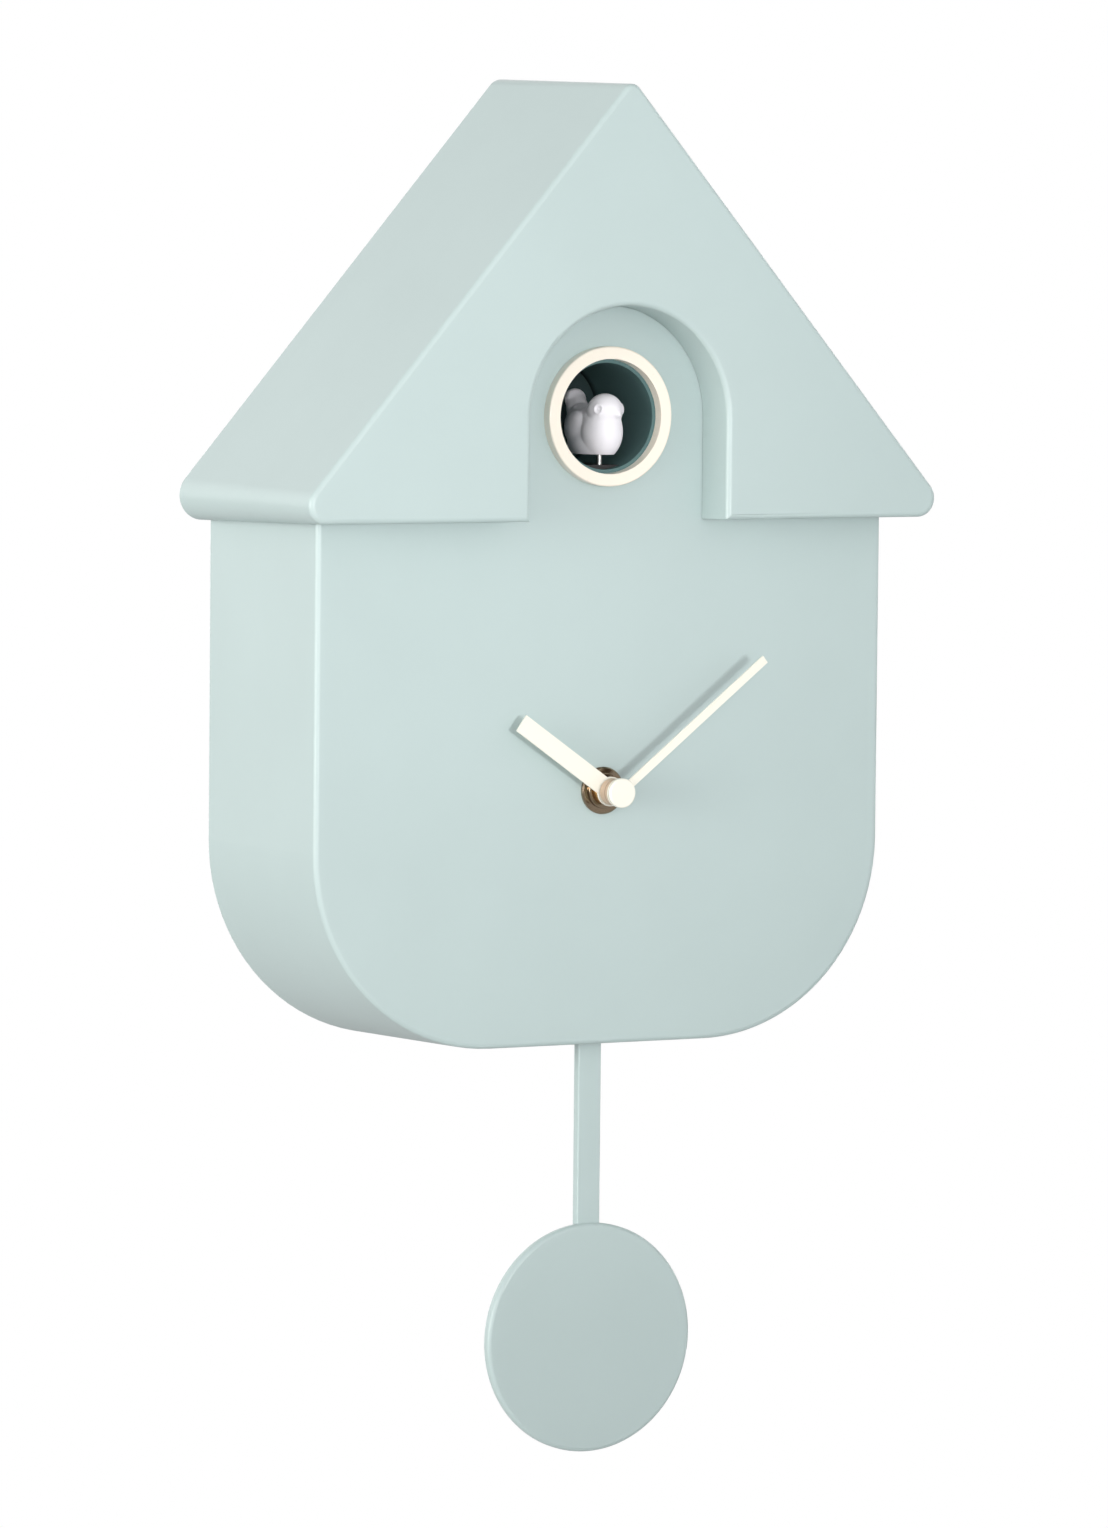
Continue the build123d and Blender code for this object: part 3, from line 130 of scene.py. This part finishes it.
MINT = (178, 194, 193)
mint = shaded("mint_satin_plastic", linear(*MINT), variation=0.012, rough=0.36, rough_spread=0.03,
              grain=1500.0, grain_height=0.000006)
mint_rear = shaded("mint_textured_plastic", linear(180, 198, 195), variation=0.02, rough=0.55,
                   grain=1600.0, grain_height=0.00004)
cream = shaded("warm_white_ring", linear(240, 231, 217), variation=0.01, rough=0.30, coat=0.3)
tunnel = shaded("dark_teal_tunnel", linear(90, 118, 118), variation=0.04, rough=0.65, specular=0.12)
bird_white = shaded("matte_white_plastic", linear(228, 225, 230), variation=0.015, rough=0.5, grain=2500.0)
lacquer = shaded("white_lacquered_metal", linear(234, 232, 220), variation=0.01, rough=0.35, coat=0.2)
hub_lacquer = shaded("lacquered_hub", linear(234, 232, 220), variation=0.01, rough=0.35, coat=0.2)
black = shaded("black_plastic", linear(22, 22, 23), variation=0.1, rough=0.42)
acetal = shaded("natural_acetal", linear(214, 210, 196), variation=0.02, rough=0.38)
steel = shaded("zinc_plated_steel", linear(170, 170, 168), variation=0.08, rough=0.32, metallic=1.0,
               grain=400.0, stretch=(1, 1, 12))
nickel = shaded("nickel_plated_brass", linear(196, 178, 158), variation=0.05, rough=0.22, metallic=1.0)
# the nut's nickel is a darker copy of the plain nickel plating: painted reflection, standing for the dark
# surroundings that the metal would mirror
nut_painted_reflection = shaded("nut_nickel_with_painted_dark_reflection", linear(150, 133, 112), variation=0.05, rough=0.14, metallic=1.0)
brass = shaded("turned_brass", linear(186, 142, 84), variation=0.06, rough=0.28, metallic=1.0,
               stretch=(1, 30, 1))
copper = shaded("enamelled_copper_wire", linear(168, 88, 48), variation=0.15, rough=0.3, metallic=1.0,
                patch=120.0, grain=300.0, grain_height=0.0002, stretch=(1, 10, 1))
ferrite = shaded("sintered_ferrite", linear(48, 48, 50), variation=0.15, rough=0.6, metallic=0.3)
board = shaded("solder_mask_green", linear(24, 78, 44), variation=0.12, rough=0.35, patch=250.0)
chips = shaded("moulded_components", linear(34, 34, 38), variation=0.2, rough=0.45, patch=80.0)
paper = shaded("pressed_paper_cone", linear(44, 44, 46), variation=0.15, rough=0.8, grain=500.0,
               grain_height=0.0001)
wrap = shaded("printed_cell_wrap", linear(52, 60, 72), variation=0.1, rough=0.25, coat=0.4)


def repaint_by_depth(material, near_wall, far_from_wall):
    """Range node that runs from 0 to 1 between two depths in metres, and a mix node over the paint."""
    nodes = material.node_tree.nodes
    links = material.node_tree.links
    shader = nodes["Principled BSDF"]
    place = nodes.new("ShaderNodeTexCoord")
    split = nodes.new("ShaderNodeSeparateXYZ")
    reach = nodes.new("ShaderNodeMapRange")
    reach.inputs["From Min"].default_value = -near_wall
    reach.inputs["From Max"].default_value = -far_from_wall
    mix = nodes.new("ShaderNodeMix")
    mix.data_type = "RGBA"
    links.new(place.outputs["Object"], split.inputs["Vector"])
    links.new(split.outputs["Y"], reach.inputs["Value"])
    tint = shader.inputs["Base Color"].links[0].from_socket
    links.new(mix.outputs[MIX_RESULT], shader.inputs["Base Color"])
    return reach, mix, tint


def paint_shade_by_depth(material, dark_depth, clear_depth, dark):
    """Paints shade into a hollow: its paint fades to a darker tone between two depths from the wall."""
    reach, mix, tint = repaint_by_depth(material, dark_depth, clear_depth)
    links = material.node_tree.links
    reach.interpolation_type = "SMOOTHSTEP"
    reach.inputs["To Min"].default_value = dark
    mix.inputs[MIX_FIRST].default_value = BLACK
    links.new(reach.outputs["Result"], mix.inputs[MIX_FACTOR])
    links.new(tint, mix.inputs[MIX_SECOND])


def banded(material, bands):
    """Rings of other paint round a turned part: each band's near depth and its linear colour."""
    first, last = bands[0][0], bands[-1][0]
    reach, mix, tint = repaint_by_depth(material, first, last)
    links = material.node_tree.links
    ramp = material.node_tree.nodes.new("ShaderNodeValToRGB")
    ramp.color_ramp.interpolation = "CONSTANT"
    stops = ramp.color_ramp.elements
    for index, (depth, colour) in enumerate(bands):
        spot = (depth - first) / (last - first)
        stop = stops[index] if index < 2 else stops.new(spot)
        stop.position = spot
        stop.color = colour
    mix.blend_type = "MULTIPLY"
    mix.inputs[MIX_FACTOR].default_value = 1.0
    links.new(reach.outputs["Result"], ramp.inputs["Fac"])
    links.new(tint, mix.inputs[MIX_FIRST])
    links.new(ramp.outputs["Color"], mix.inputs[MIX_SECOND])


MIX_FACTOR = 0                  # colour sockets of Blender's mix node
MIX_FIRST = 6
MIX_SECOND = 7
MIX_RESULT = 2
BLACK = (0.0, 0.0, 0.0, 1.0)
CLEAR = (1.0, 1.0, 1.0, 1.0)
TAN = linear(204, 178, 160)
SEAM = linear(130, 98, 80)

# painted shade: the tunnel's end wall lies behind these depths and is painted darker than its side walls,
# standing for the shade deep in the hollow
TUNNEL_END_DEPTH = 0.0318
TUNNEL_SIDE_DEPTH = 0.036
TUNNEL_END_PAINTED_SHADE = 0.2
paint_shade_by_depth(tunnel, TUNNEL_END_DEPTH, TUNNEL_SIDE_DEPTH, TUNNEL_END_PAINTED_SHADE)

# from the hour hand outward: the minute hand's collar, its blade, the cap's foot and the cap
HUB_BANDS = [(0.0700, TAN), (0.0736, SEAM), (0.0739, TAN), (0.0756, SEAM),
             (0.0759, CLEAR), (0.0765, SEAM), (0.0767, CLEAR), (0.0800, CLEAR)]
banded(hub_lacquer, HUB_BANDS)

SLOT_MATERIALS = {
    "mint_shell": mint, "cover_plastic": mint_rear, "cream_ring": cream, "tunnel_plastic": tunnel,
    "bird_white": bird_white, "white_lacquer": lacquer, "black_plastic": black, "white_plastic": acetal,
    "steel": steel, "nickel": nickel, "brass": brass, "copper": copper, "ferrite": ferrite,
    "circuit_board": board, "components": chips, "paper_cone": paper, "battery_wrap": wrap,
}


NODE_MATERIALS = {"minute_cap": hub_lacquer, "minute_hand": hub_lacquer, "movement_nut": nut_painted_reflection}


def dress_nodes():
    """Gives every CAD node its own material, or else that of its slot in the record."""
    for part in frame["record"]["subparts"]:
        node = part["node"]
        dress = NODE_MATERIALS.get(node, SLOT_MATERIALS[part["material_slot"]])
        NODES[node].data.materials.clear()
        NODES[node].data.materials.append(dress)


# ---- the bird -------------------------------------------------------------------------------------
EAVE = -85.0                    # height of the eaves, millimetres as in the CAD model
BIRD_FOOT = EAVE + 18.6         # flat underside of the moulded bird
# each lump: x, depth from the wall, height above the eaves, half sizes in x, depth and height, nod
BIRD_LUMPS = [
    (0.0, 62.6, 25.2, 5.9, 7.6, 8.3, 0),        # breast
    (0.0, 57.6, 24.2, 6.0, 9.6, 8.3, 0),        # belly and back
    (0.0, 57.4, 22.0, 6.1, 10.4, 6.2, 0),       # broad base on the foot
    (0.0, 52.6, 26.8, 5.4, 7.4, 6.4, 0),        # rump
    (0.0, 64.7, 31.3, 5.2, 5.5, 5.05, 0),       # head
    (0.0, 60.4, 28.6, 5.1, 7.6, 5.2, -20),      # nape and throat
    (0.0, 48.4, 31.0, 3.3, 3.4, 5.2, -16),      # tail stem
    (0.0, 46.9, 34.2, 3.4, 2.6, 3.2, -16),      # tail lobe
    (-4.0, 55.4, 26.4, 2.6, 6.6, 5.0, -14),     # wings
    (4.0, 55.4, 26.4, 2.6, 6.6, 5.0, -14),
]
HEAD = Vector((0.0, -64.7, EAVE + 31.3))
HEAD_TURN = math.radians(12)    # the bird looks a little to its left
EYE_ANGLE = math.radians(65)    # between the beak and an eye, seen from above


def around_head(angle, out_x, out_y, rise):
    """Point on the head's oval, at an angle from straight ahead."""
    return HEAD + Vector((math.sin(angle) * out_x, -math.cos(angle) * out_y, rise))


BEAK_TIP = around_head(HEAD_TURN, 6.9, 7.2, -1.5)
BEAK_ROOT = around_head(HEAD_TURN, 4.0, 4.2, 0.3)
EYES = [around_head(HEAD_TURN + side * EYE_ANGLE, 5.2, 5.5, 0.6) for side in (-1, 1)]
BEAK_ROOT_R = 2.1
BEAK_TIP_R = 0.3
EYE_RING = 1.25                 # radius, width and height of the raised rim round the eye
EYE_RIM_WIDTH = 0.34
EYE_RIM_HEIGHT = 0.34
EYE_DIMPLE_R = 0.66             # sunken disc inside the rim, and the bead in its middle
EYE_DIMPLE_DEPTH = 0.30
EYE_BEAD_R = 0.30
EYE_BEAD_HEIGHT = 0.26
EYE_TALLER = 0.92               # under 1, so that the eye is a little taller than wide
BIRD_VOXEL = 0.22
BIRD_SOFTENING = 44             # rounds of smoothing over the joints between lumps


def mesh_object(name, mesh_data):
    thing = bpy.data.objects.new(name, mesh_data)
    bpy.context.scene.collection.objects.link(thing)
    return thing


def fused(name, shape, voxel, rounds):
    """Mesh of all the lumps in the bmesh fused into one smooth skin."""
    data = bpy.data.meshes.new(name)
    shape.to_mesh(data)
    shape.free()
    rough_thing = mesh_object(name + "_lumps", data)
    skin = rough_thing.modifiers.new("skin", "REMESH")
    skin.mode = "VOXEL"
    skin.voxel_size = voxel
    soften = rough_thing.modifiers.new("soften", "SMOOTH")
    soften.factor = 0.5
    soften.iterations = rounds
    graph = bpy.context.evaluated_depsgraph_get()
    result = bpy.data.meshes.new_from_object(rough_thing.evaluated_get(graph))
    bpy.data.objects.remove(rough_thing)
    return result


def bird_lumps():
    """Bmesh of the bird's overlapping ovals and its beak, in millimetres."""
    shape = bmesh.new()
    for x, depth, rise, half_x, half_y, half_z, nod in BIRD_LUMPS:
        turn = Matrix.Rotation(math.radians(nod), 4, "X")
        place = Matrix.Translation((x, -depth, EAVE + rise))
        size = Matrix.Diagonal((half_x, half_y, half_z, 1.0))
        bmesh.ops.create_icosphere(shape, subdivisions=4, radius=1.0, matrix=place @ turn @ size)
    along = BEAK_TIP - BEAK_ROOT
    turn = along.to_track_quat("Z", "X").to_matrix().to_4x4()
    place = Matrix.Translation((BEAK_TIP + BEAK_ROOT) / 2)
    bmesh.ops.create_cone(shape, segments=24, radius1=BEAK_ROOT_R, radius2=BEAK_TIP_R,
                          depth=along.length, cap_ends=True, matrix=place @ turn)
    return shape


def press_eyes(shape):
    """Raises a rim round each eye, with a sunken disc and a bead inside it."""
    shape.normal_update()
    for vert in shape.verts:
        for eye in EYES:
            away = vert.co - eye
            reach = math.sqrt(away.x ** 2 + away.y ** 2 + (away.z * EYE_TALLER) ** 2)
            if reach < 3 * EYE_RING:
                rim = EYE_RIM_HEIGHT * math.exp(-((reach - EYE_RING) / EYE_RIM_WIDTH) ** 2)
                dimple = EYE_DIMPLE_DEPTH * math.exp(-(reach / EYE_DIMPLE_R) ** 4)
                bead = EYE_BEAD_HEIGHT * math.exp(-(reach / EYE_BEAD_R) ** 2)
                vert.co += vert.normal * (rim - dimple + bead)


def make_bird():
    skin = fused("bird_skin", bird_lumps(), BIRD_VOXEL, BIRD_SOFTENING)
    shape = bmesh.new()
    shape.from_mesh(skin)
    bpy.data.meshes.remove(skin)
    press_eyes(shape)
    cut = bmesh.ops.bisect_plane(shape, geom=shape.verts[:] + shape.edges[:] + shape.faces[:],
                                 plane_co=(0, 0, BIRD_FOOT), plane_no=(0, 0, -1), clear_outer=True)
    rim = [edge for edge in cut["geom_cut"] if isinstance(edge, bmesh.types.BMEdge)]
    bmesh.ops.edgenet_fill(shape, edges=rim)
    for face in shape.faces:
        face.smooth = abs(face.normal.z) < 0.999
    bmesh.ops.scale(shape, vec=(MM, MM, MM), verts=shape.verts)
    data = bpy.data.meshes.new("moulded_bird")
    shape.to_mesh(data)
    shape.free()
    data.materials.append(bird_white)
    bird = mesh_object("moulded_bird", data)
    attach(bird, "bird")
    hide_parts("cuckoo_bird")


# ---- stage and light ---------------------------------------------------------------------------
FLOOR_Z = -1.3


def make_floor():
    """Plain pale floor: white to the camera, dimmer as a bounce light so that undersides stay shaded."""
    shape = bmesh.new()
    bmesh.ops.create_grid(shape, x_segments=1, y_segments=1, size=25.0)
    data = bpy.data.meshes.new("floor")
    shape.to_mesh(data)
    shape.free()
    floor = mesh_object("floor", data)
    floor.location.z = FLOOR_Z
    pale = shaded("pale_floor", (0.8, 0.8, 0.8, 1.0), variation=0.01, patch=2.0, rough=0.9, specular=0.1)
    nodes = pale.node_tree.nodes
    links = pale.node_tree.links
    glow = nodes.new("ShaderNodeEmission")
    path = nodes.new("ShaderNodeLightPath")
    mix = nodes.new("ShaderNodeMixShader")
    links.new(path.outputs["Is Camera Ray"], mix.inputs["Fac"])
    links.new(nodes["Principled BSDF"].outputs["BSDF"], mix.inputs[1])
    links.new(glow.outputs["Emission"], mix.inputs[2])
    links.new(mix.outputs["Shader"], nodes["Material Output"].inputs["Surface"])
    data.materials.append(pale)


def aim(name, data, place, target):
    """Puts a lamp at a place and points it at a target, both in metres."""
    lamp = bpy.data.objects.new(name, data)
    lamp.location = place
    lamp.rotation_euler = (Vector(target) - Vector(place)).to_track_quat("-Z", "Y").to_euler()
    bpy.context.scene.collection.objects.link(lamp)


def softbox(name, place, target, side, power, colour=(1.0, 1.0, 1.0), spread=180.0):
    """Square lamp; a spread under 180 degrees narrows its beam."""
    data = bpy.data.lights.new(name, "AREA")
    data.size = side
    data.energy = power
    data.color = colour
    data.spread = math.radians(spread)
    aim(name, data, place, target)


def snoot(name, place, target, half_angle, power):
    """Small round light that reaches nothing but the opening it points at."""
    data = bpy.data.lights.new(name, "SPOT")
    data.energy = power
    data.spot_size = math.radians(2 * half_angle)
    data.spot_blend = 0.35
    data.shadow_soft_size = 0.004
    aim(name, data, place, target)


CLOCK_CENTRE = (0.0, -0.04, -0.16)
AMBIENT = 1.24                  # strength of the light from all round
ZENITH = 0.25                   # share of it that comes from straight overhead
KEY_POWER = 0.41
LEFT_POWER = 4.0
CAMERA_POWER = 0.08
SNOOT_POWER = 0.9
SNOOT_HALF_ANGLE = 1.25         # degrees
RIGHT_POWER = 1.5
REAR_POWER = 4.0
WARM = (1.0, 0.985, 0.955)
WHITE = (1.0, 1.0, 1.0)


def make_light():
    world = bpy.data.worlds.new("studio")
    world.use_nodes = True
    nodes = world.node_tree.nodes
    links = world.node_tree.links
    output = nodes["World Output"]
    ambient = nodes["Background"]
    ambient.inputs["Strength"].default_value = AMBIENT
    place = nodes.new("ShaderNodeTexCoord")
    split = nodes.new("ShaderNodeSeparateXYZ")
    sky = nodes.new("ShaderNodeMapRange")
    sky.inputs["To Min"].default_value = 1.0
    sky.inputs["To Max"].default_value = ZENITH
    links.new(place.outputs["Generated"], split.inputs["Vector"])
    links.new(split.outputs["Z"], sky.inputs["Value"])
    links.new(sky.outputs["Result"], ambient.inputs["Color"])
    seen = nodes.new("ShaderNodeBackground")
    seen.inputs["Color"].default_value = (1.0, 1.0, 1.0, 1.0)
    seen.inputs["Strength"].default_value = 1.0
    path = nodes.new("ShaderNodeLightPath")
    mix = nodes.new("ShaderNodeMixShader")
    links.new(path.outputs["Is Camera Ray"], mix.inputs["Fac"])
    links.new(ambient.outputs["Background"], mix.inputs[1])
    links.new(seen.outputs["Background"], mix.inputs[2])
    links.new(mix.outputs["Shader"], output.inputs["Surface"])
    bpy.context.scene.world = world
    softbox("key", (-0.11, -2.2, -0.05), (-0.10, -0.07, -0.04), 0.32, KEY_POWER, WHITE, 23.5)
    softbox("left", (-2.5, -0.62, 0.0), (-0.1, -0.04, -0.12), 1.1, LEFT_POWER, WARM, 50.0)
    softbox("beside_camera", (-1.15, -2.1, 0.06), (-0.04, -0.05, -0.11), 0.3, CAMERA_POWER, WHITE, 24.0)
    snoot("bird_snoot", (-0.284, -0.562, -0.052), (0.0, -0.062, -0.0553), SNOOT_HALF_ANGLE, SNOOT_POWER)
    softbox("right_fill", (2.2, -0.2, 0.3), CLOCK_CENTRE, 1.4, RIGHT_POWER)
    softbox("rear_left", (-0.6, 2.4, 0.4), CLOCK_CENTRE, 1.4, REAR_POWER)
    softbox("rear_right", (0.6, 2.4, 0.4), CLOCK_CENTRE, 1.4, REAR_POWER)
    bpy.context.scene.view_settings.view_transform = "Standard"


make_camera()
dress_nodes()
make_bird()
make_floor()
make_light()
